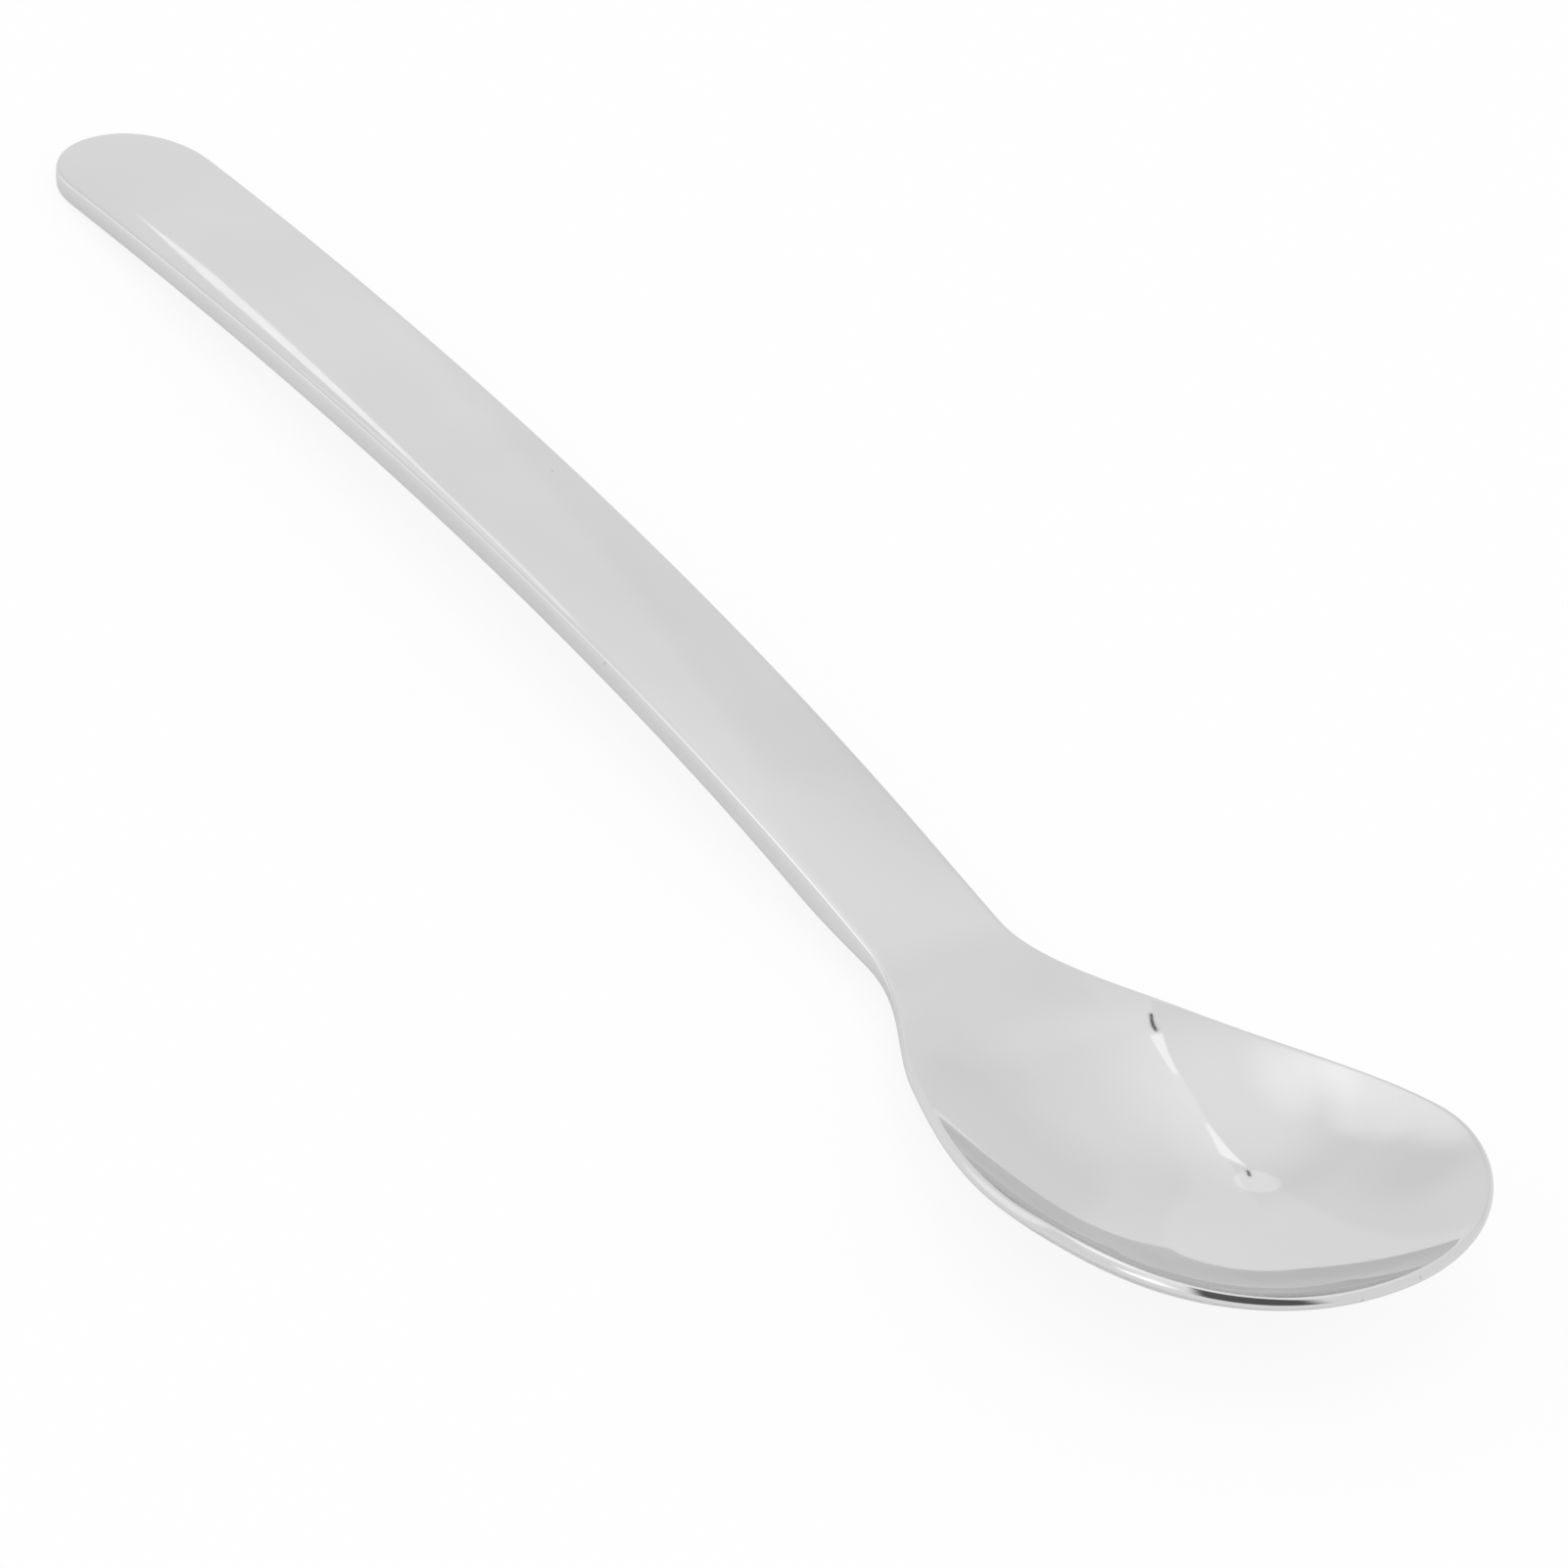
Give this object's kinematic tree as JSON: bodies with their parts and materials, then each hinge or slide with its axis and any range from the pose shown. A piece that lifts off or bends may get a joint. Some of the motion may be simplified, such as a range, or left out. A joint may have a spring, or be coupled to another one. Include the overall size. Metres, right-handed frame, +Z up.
{
  "type": "soup spoon",
  "caption": "Polished steel soup spoon with a drop-shaped bowl, a rounded rim and a long flat arched handle with a crowned top and a round end.",
  "frame": {"origin": "on the table, under the middle of the spoon's length and width", "axes": "+X along the spoon from the handle end to the bowl tip, +Y across it, +Z up from the table"},
  "size_m": [0.2, 0.0438, 0.0111],
  "materials": {
    "bowl_steel": "mirror-polished stainless steel",
    "handle_steel": "mirror-polished stainless steel",
    "weld_steel": "stainless weld metal, ground flush and polished"
  },
  "bodies": {
    "root": {"bowl": "bowl_steel", "handle": "handle_steel", "neck_weld": "weld_steel"}
  },
  "joints": []
}
